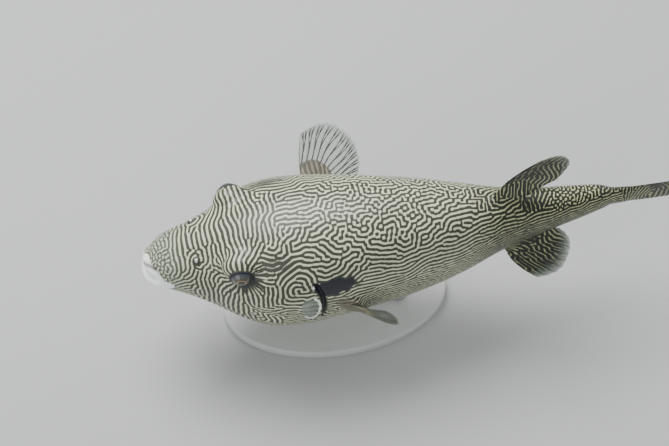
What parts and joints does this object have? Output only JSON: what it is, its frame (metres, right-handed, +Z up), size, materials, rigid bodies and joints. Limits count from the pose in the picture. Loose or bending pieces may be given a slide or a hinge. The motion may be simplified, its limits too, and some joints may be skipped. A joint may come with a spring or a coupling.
{
  "type": "pufferfish",
  "caption": "Life-size map puffer, swimming with one pectoral fin spread and the other folded, held by two short rods on a flat oval stand.",
  "frame": {"origin": "middle of the stand's flat underside", "axes": "+X from the head to the tail, +Y to the fish's right, +Z up"},
  "size_m": [0.5577, 0.2084, 0.2525],
  "materials": {
    "skin": "moist skin with fine labyrinth lines",
    "fin": "thin membrane over branched rays",
    "lip": "smooth pale skin",
    "beak": "polished tooth enamel",
    "eye": "wet and clear",
    "steel": "brushed",
    "base": "satin powder coat"
  },
  "bodies": {
    "root": {"head": "skin", "trunk": "skin", "tail_stalk": "skin", "gill_cover_left": "skin", "gill_cover_right": "skin", "nasal_flap_left": "skin", "nasal_flap_right": "skin", "pectoral_fin_left": "fin", "pectoral_fin_right": "fin", "dorsal_fin": "fin", "anal_fin": "fin", "caudal_fin": "fin", "upper_lip": "lip", "lower_lip": "lip", "upper_beak": "beak", "lower_beak": "beak", "eye_left": "eye", "eye_right": "eye", "stand_base": "base", "stand_rod_front": "steel", "stand_rod_rear": "steel", "stand_collar_front": "steel", "stand_collar_rear": "steel"}
  },
  "joints": []
}
